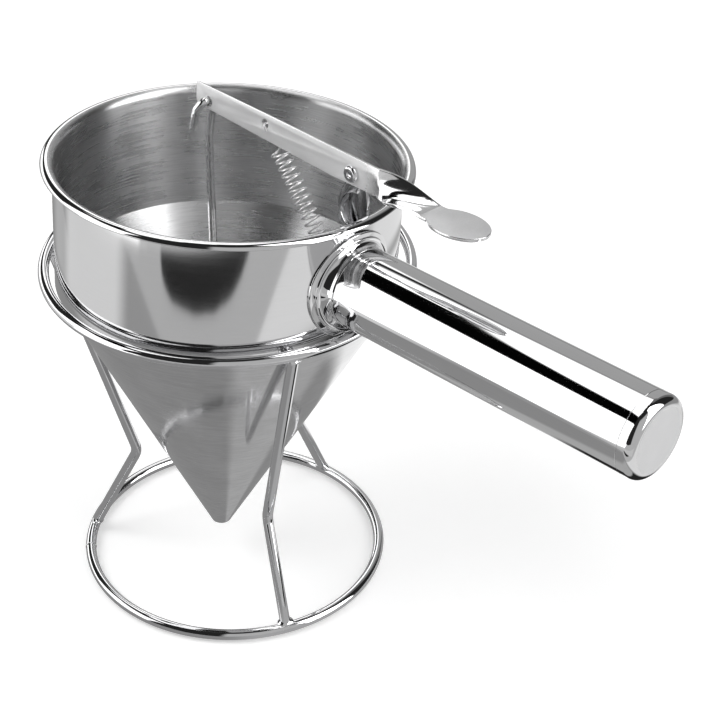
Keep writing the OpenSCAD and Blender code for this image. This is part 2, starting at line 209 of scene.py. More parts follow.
def lathe(profile: Sequence[Point], closed: bool = True, segments: int = 192) -> Shape:
    """Turns a profile a full turn about +Z.

    Args:
        profile: points (radius, height); an open profile starts and ends on the axis.
        closed: whether the profile is a loop, as for a shell or a ring.
        segments: the number of steps in the turn.

    Returns:
        A closed solid.
    """
    shape = bmesh.new()
    verts = [shape.verts.new((radius, 0, height)) for radius, height in profile]
    edges = [shape.edges.new(pair) for pair in zip(verts, verts[1:])]
    if closed:
        edges.append(shape.edges.new((verts[-1], verts[0])))
    bmesh.ops.spin(shape, geom=verts + edges, cent=(0, 0, 0), axis=UP, angle=FULL_TURN,
                   steps=segments, use_merge=True)
    return tidy(shape)


def tidy(shape: Shape, reach: float = 0.002) -> Shape:
    """Merges doubles, in millimetres, and turns all faces outwards."""
    bmesh.ops.remove_doubles(shape, verts=shape.verts, dist=reach)
    bmesh.ops.dissolve_degenerate(shape, edges=shape.edges, dist=reach / 10)
    bmesh.ops.recalc_face_normals(shape, faces=shape.faces)
    return shape


def moved(shape: Shape, place: Matrix) -> Shape:
    """Moves a whole shape."""
    bmesh.ops.transform(shape, matrix=place, verts=shape.verts)
    return shape


def mapped_grid(columns: int, rows: int, place: Callable[[float, float], Vector]) -> Shape:
    """Lays a grid over a surface.

    Args:
        columns: the number of cells along u.
        rows: the number of cells along v.
        place: gives the point of the surface at (u, v), each from 0 to 1.

    Returns:
        The open surface.
    """
    shape = bmesh.new()
    bmesh.ops.create_grid(shape, x_segments=columns, y_segments=rows, size=0.5)
    for vert in shape.verts:
        vert.co = place(vert.co.x + 0.5, vert.co.y + 0.5)
    return shape


def joined(shapes: Sequence[Shape]) -> Shape:
    """Puts several shapes into one bmesh."""
    whole = bmesh.new()
    for shape in shapes:
        loose = bpy.data.meshes.new("loose")
        shape.to_mesh(loose)
        shape.free()
        whole.from_mesh(loose)
        bpy.data.meshes.remove(loose)
    return whole


def shown(name: str, data: bpy.types.ID) -> bpy.types.Object:
    """Adds an object to the scene that shows a mesh, a curve, a light or a camera."""
    thing = bpy.data.objects.new(name, data)
    bpy.context.scene.collection.objects.link(thing)
    return thing


def linked(name: str, shape: Shape) -> bpy.types.Object:
    """Adds an object to the scene with the mesh of a shape, and frees the shape."""
    mesh = bpy.data.meshes.new(name)
    shape.to_mesh(mesh)
    shape.free()
    return shown(name, mesh)


def add_modifier(work: bpy.types.Object, kind: str, **settings: object) -> None:
    """Adds a modifier with its settings."""
    modifier = work.modifiers.new(kind.lower(), kind)
    for name, setting in settings.items():
        setattr(modifier, name, setting)


def settled(work: bpy.types.Object) -> Shape:
    """Reads a work object back with its modifiers applied, and removes it."""
    depsgraph = bpy.context.evaluated_depsgraph_get()
    mesh = bpy.data.meshes.new_from_object(work.evaluated_get(depsgraph))
    shape = bmesh.new()
    shape.from_mesh(mesh)
    bpy.data.meshes.remove(mesh)
    bpy.data.objects.remove(work)
    return shape


def swept_wire(path: Sequence[Vector], radius: float, rounding: float = 0.25, quality: int = 5) -> Shape:
    """Sweeps round wire along a path, with the rims of its two cut ends rounded.

    Args:
        path: the wire's centre line, in millimetres.
        radius: the wire's radius.
        rounding: the radius of the rounded rims.
        quality: the bevel resolution of the round section.

    Returns:
        A closed solid.
    """
    turns = [math.radians(angle) for angle in (0, 30, 60, 90)]
    rim = [(rounding * (1 - math.sin(a)), (radius - rounding * (1 - math.cos(a))) / radius) for a in turns]
    head = (path[1] - path[0]).normalized()
    tail = (path[-2] - path[-1]).normalized()
    starts = [(path[0] + head * back, share) for back, share in rim]
    ends = [(path[-1] + tail * back, share) for back, share in rim]
    stations = starts[::-1] + [(point, 1.0) for point in path[1:-1]] + ends
    curve = bpy.data.curves.new("wire", "CURVE")
    curve.dimensions = "3D"
    curve.bevel_depth = radius
    curve.bevel_resolution = quality
    curve.use_fill_caps = True
    spline = curve.splines.new("POLY")
    spline.points.add(len(stations) - 1)
    for point, (place, share) in zip(spline.points, stations):
        point.co = (*place, 1)
        point.radius = share
    shape = settled(shown("wire", curve))
    bpy.data.curves.remove(curve)
    return tidy(shape, 0.001)


def weld_bead(centre: Vector, size: float, squash: Vector, seed: float, lumps: float = 0.16) -> Shape:
    """A small lumpy bead of weld.

    Args:
        centre: the bead's middle.
        size: its radius.
        squash: how much each axis is scaled.
        seed: moves the lumps, so that beads differ.
        lumps: the size of the lumps, as a share of the bead's.

    Returns:
        A closed solid.
    """
    shape = bmesh.new()
    bmesh.ops.create_icosphere(shape, subdivisions=4, radius=size)
    for vert in shape.verts:
        lump = noise.noise(vert.co * (1.1 / size) + Vector((seed, 0, 0)))
        vert.co = (vert.co * (1 + lumps * lump)) * squash + centre
    return shape


# ---------- finishes ----------


Value = float | tuple | Vector | bpy.types.NodeSocket
NOISE_SPAN = (0.6, 1.4)
POLISHED = 0.1


class Wiring:
    """Adds nodes to a node tree and joins them."""

    def __init__(self, tree: bpy.types.NodeTree) -> None:
        """Starts from an empty tree."""
        self.nodes, self.links = tree.nodes, tree.links
        self.nodes.clear()

    def node(self, kind: str, inputs: dict[int | str, Value] | None = None,
             **settings: object) -> bpy.types.Node:
        """Adds a node.

        Args:
            kind: the node's type, without its ShaderNode prefix.
            inputs: a value, or another node's output, for each input that takes one.
            settings: the node's own settings.

        Returns:
            The node.
        """
        node = self.nodes.new("ShaderNode" + kind)
        for name, setting in settings.items():
            setattr(node, name, setting)
        for name, value in (inputs or {}).items():
            if isinstance(value, bpy.types.NodeSocket):
                self.links.new(value, node.inputs[name])
            else:
                node.inputs[name].default_value = value
        return node

    def math(self, operation: str, *values: Value) -> bpy.types.NodeSocket:
        """Works out one number from others."""
        return self.node("Math", dict(enumerate(values)), operation=operation).outputs[0]

    def vector(self, operation: str, *values: Value) -> bpy.types.NodeSocket:
        """Works out one vector from others."""
        return self.node("VectorMath", dict(enumerate(values)), operation=operation).outputs[0]

    def ramp(self, value: Value, start: float, end: float, low: Value = 0.0,
             high: Value = 1.0) -> bpy.types.NodeSocket:
        """Goes smoothly from low, where the value is start, to high, where it is end."""
        inputs = {"Value": value, "From Min": start, "From Max": end, "To Min": low, "To Max": high}
        return self.node("MapRange", inputs, interpolation_type="SMOOTHSTEP").outputs["Result"]

    def noise(self, place: Value, scale: float, detail: float = 2.0) -> bpy.types.NodeSocket:
        """A noise around one half, read at a place."""
        return self.node("TexNoise", {"Vector": place, "Scale": scale, "Detail": detail}).outputs["Fac"]

    def bump(self, height: Value, distance: float, normal: Value | None = None) -> bpy.types.NodeSocket:
        """Tilts the surface by a height map of the given depth in millimetres."""
        inputs = {"Height": height, "Strength": 1.0, "Distance": distance * MM}
        if normal is not None:
            inputs["Normal"] = normal
        return self.node("Bump", inputs).outputs["Normal"]

    def show(self, shader: bpy.types.NodeSocket, output: str = "OutputMaterial") -> None:
        """Sends a shader to the output."""
        self.node(output, {"Surface": shader})


def new_material(name: str) -> tuple[bpy.types.Material, Wiring]:
    """Makes an empty material, and the wiring to fill it with."""
    material = bpy.data.materials.new(name)
    material.use_nodes = True
    return material, Wiring(material.node_tree)


class Grain(Enum):
    """How the marks of a finish run over a piece."""

    NONE = "none"
    AROUND = "around its axis"
    ALONG = "along its length"
    SPECKLE = "in every direction"


@dataclass(frozen=True)
class Finish:
    """One finish of bare steel.

    The grain is fine bump, and the wear is a slow change of roughness; both read Object coordinates,
    turned by the mapping so that +Z is the axis or the length that the marks follow. A satin finish may
    go over into polish between two heights on that axis.
    """

    name: str
    slot: str
    colour: tuple[float, float, float]
    roughness: float
    grain: Grain = Grain.NONE
    grain_pitch: float = 0.4
    grain_depth: float = 0.1
    wear: float = 0.04
    wear_size: float = 12.0
    ripple: float = 0.0
    ripple_size: float = 30.0
    stretch: float = 0.0
    bloom: float = 0.0
    shade: float = 0.035
    polished_past: tuple[float, float] | None = None
    mapping: Matrix = Matrix.Identity(4)

    def build(self) -> bpy.types.Material:
        """Makes the material with its nodes."""
        material, wiring = new_material(self.name)
        coordinates = wiring.node("TexCoord").outputs["Object"]
        turn = self.mapping.inverted()
        place = wiring.node("Mapping", {
            "Vector": coordinates, "Location": turn.to_translation() / MM,
            "Rotation": turn.to_euler(), "Scale": (1 / MM,) * 3}).outputs["Vector"]
        marks = self._marks(wiring, place)
        drift = wiring.noise(place, 1 / self.wear_size, 4.0)
        lines = wiring.noise(marks, 1.0, 5.0)
        tone = wiring.ramp(wiring.math("ADD", drift, lines), *NOISE_SPAN)
        colour = wiring.node("Mix", {
            "Factor": tone, "A": (*((1 - self.shade) * c for c in self.colour), 1), "B": (*self.colour, 1)},
            data_type="RGBA").outputs["Result"]
        streaks = wiring.noise(marks, 0.35, 3.0)
        roughness = wiring.ramp(wiring.math("ADD", drift, streaks), *NOISE_SPAN,
                                max(self.roughness - self.wear, 0.01), self.roughness + self.wear)
        normal = None
        if self.ripple:
            normal = wiring.bump(wiring.noise(place, 1 / self.ripple_size, 1.0), self.ripple)
        normal = wiring.bump(lines, self.grain_depth, normal)
        metal = 1 - self.bloom
        if self.polished_past:
            length = wiring.node("SeparateXYZ", {"Vector": place}).outputs["Z"]
            roughness = wiring.ramp(length, *self.polished_past, roughness, POLISHED)
            metal = wiring.ramp(length, *self.polished_past, metal, 1.0)
        inputs = {"Base Color": colour, "Roughness": roughness, "Normal": normal, "Metallic": metal}
        if self.stretch:
            inputs["Anisotropic"] = self.stretch
            inputs["Tangent"] = self._across(wiring, coordinates)
        wiring.show(wiring.node("BsdfPrincipled", inputs).outputs["BSDF"])
        return material

    def _marks(self, wiring: Wiring, place: bpy.types.NodeSocket) -> bpy.types.NodeSocket:
        """Coordinates drawn out along the marks, one unit being one pitch across them.

        Args:
            wiring: the material's nodes.
            place: the piece's own coordinates, in millimetres.

        Returns:
            The coordinates that the grain's noise reads.
        """
        fine = 1 / self.grain_pitch
        if self.grain is Grain.AROUND:
            spoke = wiring.vector("NORMALIZE", wiring.vector("MULTIPLY", place, (1, 1, 0)))
            around = wiring.vector("MULTIPLY", spoke, (3, 3, 0))
            return wiring.vector("MULTIPLY_ADD", place, (fine * 0.02, fine * 0.02, fine), around)
        drawn_out = 0.03 if self.grain is Grain.ALONG else 1.0
        return wiring.vector("MULTIPLY", place, (fine, fine, fine * drawn_out))

    def _across(self, wiring: Wiring, coordinates: bpy.types.NodeSocket) -> bpy.types.NodeSocket:
        """The direction in the surface across the marks, along which they stretch a highlight."""
        marks = self.mapping.to_3x3() @ UP
        if self.grain is Grain.AROUND:
            arm = wiring.vector("SUBTRACT", coordinates, self.mapping.to_translation())
            marks = wiring.vector("CROSS_PRODUCT", marks, arm)
        turned = wiring.node("VectorTransform", {"Vector": marks}, vector_type="VECTOR",
                             convert_from="OBJECT", convert_to="WORLD").outputs["Vector"]
        normal = wiring.node("NewGeometry").outputs["Normal"]
        return wiring.vector("NORMALIZE", wiring.vector("CROSS_PRODUCT", normal, turned))


# ---------- the bench ----------


class Bench:
    """Turns finished shapes into pieces of the object."""

    def __init__(self, datum: Datum) -> None:
        """Keeps the datum; finishes are built once each, when first asked for."""
        self.datum = datum
        self._materials: dict[str, bpy.types.Material] = {}

    def material(self, finish: Finish) -> bpy.types.Material:
        """The material of a finish."""
        if finish.name not in self._materials:
            self._materials[finish.name] = finish.build()
        return self._materials[finish.name]

    def piece(self, name: str, shape: Shape, body: str | None, finishes: Sequence[Finish], node: str,
              place: Matrix | None = None, sharp: float = 40.0) -> bpy.types.Object:
        """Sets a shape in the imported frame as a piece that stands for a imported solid.

        Args:
            name: the piece's name.
            shape: the finished shape, in millimetres.
            body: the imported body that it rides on; none for a piece between two bodies.
            finishes: one finish for each material index of its faces.
            node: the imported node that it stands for.
            place: takes the shape into the row's frame; the funnel's seat if left out.
            sharp: the angle in degrees past which an edge is shaded as a corner.

        Returns:
            The piece.
        """
        piece = linked(name, moved(shape, self.datum.seat if place is None else place))
        mesh = piece.data
        mesh.shade_smooth()
        mesh.set_sharp_from_angle(angle=math.radians(sharp))
        for finish in finishes:
            mesh.materials.append(self.material(finish))
        if body:
            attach(piece, body)
        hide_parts(node)
        LOG.info("%s: %d faces on %s", name, len(mesh.polygons), body)
        return piece

    def eased_copy(self, name: str, node: str, body: str, finish: Finish, edge: float = 0.15) -> None:
        """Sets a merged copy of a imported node, with its sharp edges eased, as a piece.

        Args:
            name: the piece's name.
            node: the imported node.
            body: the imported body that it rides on.
            finish: its finish.
            edge: the width of the eased edges, in millimetres.
        """
        shape = bmesh.new()
        shape.from_mesh(frame["nodes"][node].data)
        bmesh.ops.remove_doubles(shape, verts=shape.verts, dist=2e-6)
        bmesh.ops.dissolve_limit(shape, angle_limit=math.radians(0.5), verts=shape.verts, edges=shape.edges)
        corners = [e for e in shape.edges if e.is_manifold and e.calc_face_angle() > math.radians(50)]
        bmesh.ops.bevel(shape, geom=corners, offset=edge * MM, affect="EDGES", segments=2, profile=0.5,
                        material=-1, clamp_overlap=True)
        bmesh.ops.recalc_face_normals(shape, faces=shape.faces)
        self.piece(name, shape, body, [finish], node, ROW_FRAME, 35)


# ---------- the wire stand ----------


@dataclass(frozen=True)
class WireStand:
    """Two rings and three bent legs of round wire, welded together."""

    wire_r: float
    base_r: float
    top_r: float
    top_z: float
    knee_r: float = 37.5
    knee_z: float = 40.5
    knee_bend: float = 7.0
    first_leg: float = -24.0
    leg_step: float = 120.0
    leg_short: float = 0.6
    seam_angle: float = 171.0
    seam_size: float = 1.09
    seam_squash: Vector = Vector((1.0, 0.42, 1.0))
    weld_r: float = 2.3
    weld_out: float = 0.3
    weld_squash: Vector = Vector((1.0, 1.35, 0.62))
    wire_sides: int = 48
    finish: Finish = Finish("stand_wire_chrome", "stand_wire", (0.80, 0.80, 0.81), 0.045,
                            grain_pitch=0.5, grain_depth=0.003, wear=0.02, wear_size=9.0,
                            ripple=0.03, ripple_size=16.0)
    ring_finish: Finish = replace(finish, name="stand_ring_chrome", grain=Grain.AROUND,
                                  grain_pitch=0.9, grain_depth=0.02)

    @classmethod
    def from_frame(cls) -> "WireStand":
        """Takes the rings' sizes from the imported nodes."""
        base_low, base_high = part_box("stand_base_ring")
        _, top_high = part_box("stand_top_ring")
        wire_r = (base_high.z - base_low.z) / 2 / MM
        return cls(
            wire_r=wire_r,
            base_r=base_high.x / MM - wire_r,
            top_r=top_high.x / MM - wire_r,
            top_z=top_high.z / MM - wire_r,
        )

    def ring(self, radius: float, height: float, seam: float) -> Shape:
        """A ring of wire with a small bead where its two ends were welded, ground flush underneath.

        Args:
            radius: the ring's centre-line radius.
            height: the height of its centre line.
            seam: the direction of the butt weld, in degrees.

        Returns:
            A closed ring and its bead.
        """
        last = 360 - 360 / self.wire_sides
        ring = lathe(arc((radius, height), self.wire_r, 0, last, self.wire_sides - 1), segments=288)
        angle = math.radians(seam)
        centre = Vector((radius * math.cos(angle), radius * math.sin(angle), height))
        bead = weld_bead(Vector(), self.wire_r * self.seam_size, self.seam_squash, seam)
        for vert in bead.verts:
            vert.co.z = max(vert.co.z, -self.wire_r)
        moved(bead, Matrix.Translation(centre) @ Matrix.Rotation(angle, 4, "Z"))
        return joined([ring, bead])

    def leg(self, index: int) -> Shape:
        """One leg: up from the base ring, in to the knee, and out again to the top ring."""
        foot = Vector((self.base_r, 0, self.wire_r))
        knee = Vector((self.knee_r, 0, self.knee_z))
        head = Vector((self.top_r, 0, self.top_z))
        down, up = (foot - knee).normalized(), (head - knee).normalized()
        reach = self.wire_r - self.leg_short
        path = fillet([foot - down * reach, knee, head - up * reach], [self.knee_bend], 14)
        welds = [weld_bead(end - out * (self.wire_r + self.weld_out), self.weld_r, self.weld_squash, seed)
                 for end, out, seed in ((foot, down, index), (head, up, index + 7))]
        turn = Matrix.Rotation(math.radians(self.first_leg + index * self.leg_step), 4, "Z")
        return moved(joined([swept_wire(path, self.wire_r), *welds]), turn)

    def build(self, bench: Bench) -> None:
        """Makes the two rings and the three legs."""
        rings = {
            "stand_base_ring": self.ring(self.base_r, self.wire_r, self.seam_angle + 60),
            "stand_top_ring": self.ring(self.top_r, self.top_z, self.seam_angle),
        }
        for node, shape in rings.items():
            bench.piece(node + "_wire", shape, "stand", [self.ring_finish], node, STAND_FRAME, 60)
        for index, node in enumerate(("stand_leg_near", "stand_leg_back", "stand_leg_far")):
            bench.piece(node + "_wire", self.leg(index), "stand", [self.finish], node, STAND_FRAME, 60)


# ---------- the bowl and the cone ----------


@dataclass(frozen=True)
class Bowl:
    """The wall with its turned-out rim, and the cone below the shoulder."""

    datum: Datum
    lip_w: float = 4.0
    lip_bend: float = 2.7
    lip_start: float = 82.0
    lip_curl: float = 15.0
    edge: float = 0.2
    shoulder_drop: float = 0.32
    cut_bevel: float = 0.1
    cut_edge: float = 0.15
    segments: int = 256

    @property
    def outside(self) -> Finish:
        """Mirror polish with a faint turning grain."""
        return Finish("bowl_mirror_polish", "bowl_steel", (0.79, 0.79, 0.795), 0.065, Grain.AROUND,
                      grain_pitch=0.3, grain_depth=0.0002, wear=0.006, wear_size=25.0, ripple=0.1,
                      ripple_size=45.0, stretch=0.3, mapping=self.datum.axis)

    @property
    def cone_outside(self) -> Finish:
        """Polish of the cone, a little duller than the wall's."""
        return Finish("cone_polish", "bowl_steel", (0.80, 0.80, 0.805), 0.1, Grain.AROUND,
                      grain_pitch=0.5, grain_depth=0.0006, wear=0.03, wear_size=14.0, ripple=0.15,
                      ripple_size=30.0, stretch=0.5, shade=0.16, mapping=self.datum.axis)

    @property
    def inside(self) -> Finish:
        """Brushed satin, its lines running round the bowl."""
        return Finish("bowl_brushed_inside", "bowl_steel", (0.74, 0.74, 0.745), 0.28, Grain.AROUND,
                      grain_pitch=0.36, grain_depth=0.004, wear=0.04, wear_size=18.0, stretch=0.96,
                      bloom=0.03, shade=0.26, mapping=self.datum.axis)

    def wall(self) -> Shape:
        """The straight wall and the rim, which rolls outwards and down."""
        wall_r, sheet = self.datum.wall_r, self.datum.sheet
        top, inner = self.datum.rim_z, wall_r - sheet
        crown = inner + self.lip_bend
        outer_bend = wall_r + self.lip_w - crown
        bend, roll = (crown, top - self.lip_bend), (crown, top - outer_bend)
        middle, curl = outer_bend - sheet / 2, math.radians(self.lip_curl)
        tip = (crown + middle * math.cos(curl), roll[1] + middle * math.sin(curl))
        shape = lathe(
            straight((inner, 0.0), (inner, bend[1]))[:-1]
            + arc(bend, self.lip_bend, 180, 90, 12)
            + arc(roll, outer_bend, self.lip_start, self.lip_curl, 12)
            + arc(tip, sheet / 2, self.lip_curl - 20, self.lip_curl - 160, 6)
            + arc(roll, outer_bend - sheet, self.lip_curl, self.lip_start, 8)
            + arc(bend, self.lip_bend - sheet, 90, 180, 12)[:-1]
            + straight((wall_r, bend[1]), (wall_r, self.edge))
            + [(wall_r - self.edge, 0.0)],
            segments=self.segments)
        self._mark_inside(shape, 0.96)
        return shape

    def cone(self) -> Shape:
        """The cone, from the shoulder to the cut outlet."""
        low, slope, outlet_r = self.datum.outlet_z, self.datum.slope, self.datum.outlet_r
        shoulder = self.datum.wall_r - self.edge
        flat = self.datum.sheet / math.cos(math.atan(slope))
        cut_z, flare = low + self.cut_edge, slope * self.cut_edge
        shape = lathe(
            [(shoulder, 0.0)]
            + straight((shoulder - self.edge * slope, -self.shoulder_drop), (outlet_r + flare, cut_z))
            + [(outlet_r - self.cut_bevel, low), (outlet_r - flat + self.cut_bevel, low)]
            + straight((outlet_r - flat + flare, cut_z), (self.datum.wall_r - flat, 0.0)),
            segments=self.segments)
        self._mark_inside(shape, 1.0)
        return shape

    @staticmethod
    def _mark_inside(shape: Shape, up: float) -> None:
        """Gives the second finish to the faces that look at the axis, and up by no more than `up`."""
        for face in shape.faces:
            if face.normal.xy.dot(face.calc_center_median().xy) < 0 and face.normal.z < up:
                face.material_index = 1

    def build(self, bench: Bench) -> None:
        """Makes the wall and the cone."""
        bench.piece("bowl_wall_shell", self.wall(), "funnel", [self.outside, self.inside], "bowl_wall")
        bench.piece("funnel_cone_shell", self.cone(), "funnel", [self.cone_outside, self.inside],
                    "funnel_cone")


# ---------- the handle ----------


@dataclass(frozen=True)
class Handle:
    """The tube, its rounded end cap, and the saddle flange that holds it to the wall."""

    datum: Datum
    tube_end: float = 180.0
    tube_edge: float = 0.1
    seam_gap: float = 0.12
    seam_step: float = 0.15
    cap_len: float = 5.6
    cap_edge: float = 3.0
    face_step: float = 0.05
    face_lip: float = 0.25
    flange_r: float = 19.0
    flange_t: float = 1.2
    flange_edge: float = 0.5
    spigot_t: float = 1.2
    ridge: float = 0.5
    neck_bend: float = 3.0
    neck_inset: float = 0.4
    neck_lip: float = 0.45
    wrap_depth: float = 3.0

    @property
    def polish(self) -> Finish:
        """Mirror polish of the tube."""
        return Finish("handle_mirror_polish", "handle_steel", (0.82, 0.82, 0.825), 0.045, Grain.ALONG,
                      grain_pitch=0.3, grain_depth=0.0006, wear=0.015, wear_size=20.0,
                      mapping=ALONG_HANDLE)

    @property
    def satin(self) -> Finish:
        """Fine satin of the cap's face."""
        return Finish("cap_satin_face", "cap_steel", (0.80, 0.80, 0.805), 0.4, Grain.SPECKLE,
                      grain_pitch=0.22, grain_depth=0.012, wear=0.06, wear_size=5.0, bloom=0.5)

    def _neck_end(self) -> float:
        """Where the neck's curve meets the tube, measured from the bowl's axis."""
        return self.datum.wall_r + self.flange_t + self.neck_bend - self.neck_inset

    def tube(self) -> Shape:
        """The tube, from the neck to the seam of the cap."""
        radius, root, end = self.datum.handle_r, self._neck_end(), self.tube_end
        bore = radius - self.datum.sheet
        return lathe([(bore, root), (radius - self.tube_edge, root), (radius, root + self.tube_edge),
                      (radius, end - self.seam_gap), (radius - self.seam_step, end), (bore, end)])

    def cap(self) -> Shape:
        """The end cap: a short skirt, a round edge and a flat face, which takes the second finish."""
        radius, end = self.datum.handle_r, self.tube_end
        face = end + self.cap_len
        ring, sunk = radius - self.cap_edge, face - self.face_step
        shape = lathe(
            [(0.0, end), (radius - self.seam_step, end), (radius, end + self.seam_gap)]
            + arc((ring, face - self.cap_edge), self.cap_edge, 0, 84, 16)
            + [(ring, face), (ring - self.face_lip, sunk), (ring - 2 * self.face_lip, sunk), (0.0, sunk)],
            closed=False)
        for flat in shape.faces:
            middle = flat.calc_center_median()
            if middle.z > face - 2 * self.face_step and middle.xy.length < ring - self.face_lip:
                flat.material_index = 1
        return shape

    def flange(self) -> Shape:
        """The saddle flange: a plate that follows the wall, a ridge and a hollow neck."""
        radius, wall_r, edge = self.datum.handle_r, self.datum.wall_r, self.flange_edge
        plate, bore = wall_r + self.flange_t, radius - self.spigot_t
        ridge_r, neck_end = radius + self.neck_bend, self._neck_end()
        lip = neck_end + self.neck_lip
        profile = (
            [(bore, wall_r), (self.flange_r, wall_r)]
            + arc((self.flange_r - edge, plate - edge), edge, 0, 90, 6)
            + arc((ridge_r - 0.35, plate + self.ridge - edge), edge, 10, 140, 8)
            + arc((ridge_r + 0.15, neck_end + 0.1), self.neck_bend + 0.05, 233, 186, 12)
            + [(radius + 0.02, lip - 0.1), (radius - 0.25, lip), (bore, lip)])
        shape = moved(lathe(profile, segments=240), self.datum.handle)
        for vert in shape.verts:
            share = max(0.0, min(1.0, 1 - (vert.co.x - plate) / self.wrap_depth))
            vert.co.x -= share * (wall_r - math.sqrt(wall_r ** 2 - vert.co.y ** 2))
        return shape

    def build(self, bench: Bench) -> None:
        """Makes the flange, the tube and the cap."""
        place = self.datum.handle
        bench.piece("handle_flange_saddle", self.flange(), "funnel", [self.polish], "handle_flange", sharp=60)
        bench.piece("handle_tube_polished", moved(self.tube(), place), "funnel", [self.polish], "handle_tube")
        bench.piece("handle_end_cap_turned", moved(self.cap(), place), "funnel", [self.polish, self.satin],
                    "handle_end_cap")


# ---------- the lever and its pivot ----------


@dataclass(frozen=True)
class Pivot:
    """The bracket inside the wall, the washer and the rivet."""

    datum: Datum
    side_play: float = 0.1
    washer_t: float = 0.8
    washer_rim: float = 0.4
    washer_edge: float = 0.12
    bracket_t: float = 1.2
    rivet_r: float = 1.6
    tail_t: float = 0.9
    tail_rim: float = 0.7
    tail_edge: float = 0.3
    head_r: float = 2.9
    head_t: float = 1.5
    head_edge: float = 0.1
    dome_r: float = 1.1
    dimple_r: float = 1.1

    @property
    def polish(self) -> Finish:
        """Tumbled polish of the small parts."""
        return Finish("pivot_polish", "rivet_steel", (0.80, 0.80, 0.81), 0.07, wear=0.03, wear_size=3.0,
                      grain_pitch=0.4, grain_depth=0.002, ripple=0.12, ripple_size=1.6)

    @property
    def sheet(self) -> Finish:
        """Bright bent sheet of the bracket."""
        return Finish("bracket_polish", "bracket_steel", (0.76, 0.76, 0.77), 0.08, wear=0.03, wear_size=5.0,
                      grain_pitch=0.4, grain_depth=0.003, ripple=0.08, ripple_size=6.0)

    def rivet(self) -> Shape:
        """The rivet: the formed tail, the shank and a domed head with a dimple."""
        head = self.datum.lever_t / 2 + self.side_play
        tail = -(head + self.washer_t + self.bracket_t)
        end, rim, top = tail - self.tail_t, self.rivet_r + self.tail_rim, head + self.head_t
        return lathe(
            [(0.0, end), (rim - self.tail_edge, end), (rim, end + self.tail_edge), (rim - 0.2, tail),
             (self.rivet_r, tail), (self.rivet_r, head), (self.head_r - self.head_edge, head),
             (self.head_r, head + self.head_edge)]
            + arc((self.head_r - self.dome_r, head + 0.4), self.dome_r, 0, 88, 12)
            + [(self.dimple_r, top - 0.12), (self.dimple_r - 0.25, top - 0.55), (0.0, top - 0.8)],
            closed=False, segments=96)

    def washer(self) -> Shape:
        """The washer between the lever and the bracket."""
        high = -(self.datum.lever_t / 2 + self.side_play)
        low, outer, edge = high - self.washer_t, self.head_r + self.washer_rim, self.washer_edge
        return lathe([(self.rivet_r, low), (outer - edge, low), (outer, low + edge), (outer, high - edge),
                      (outer - edge, high), (self.rivet_r, high)], segments=96)

    def build(self, bench: Bench) -> None:
        """Makes the rivet, the washer and the bracket."""
        place = Matrix.Translation(self.datum.pivot) @ ACROSS_LEVER
        bench.piece("pivot_rivet_head", moved(self.rivet(), place), "funnel", [self.polish], "pivot_rivet")
        bench.piece("pivot_washer_disc", moved(self.washer(), place), "funnel", [self.polish], "pivot_washer")
        bench.eased_copy("pivot_bracket_sheet", "pivot_bracket", "funnel", self.sheet)


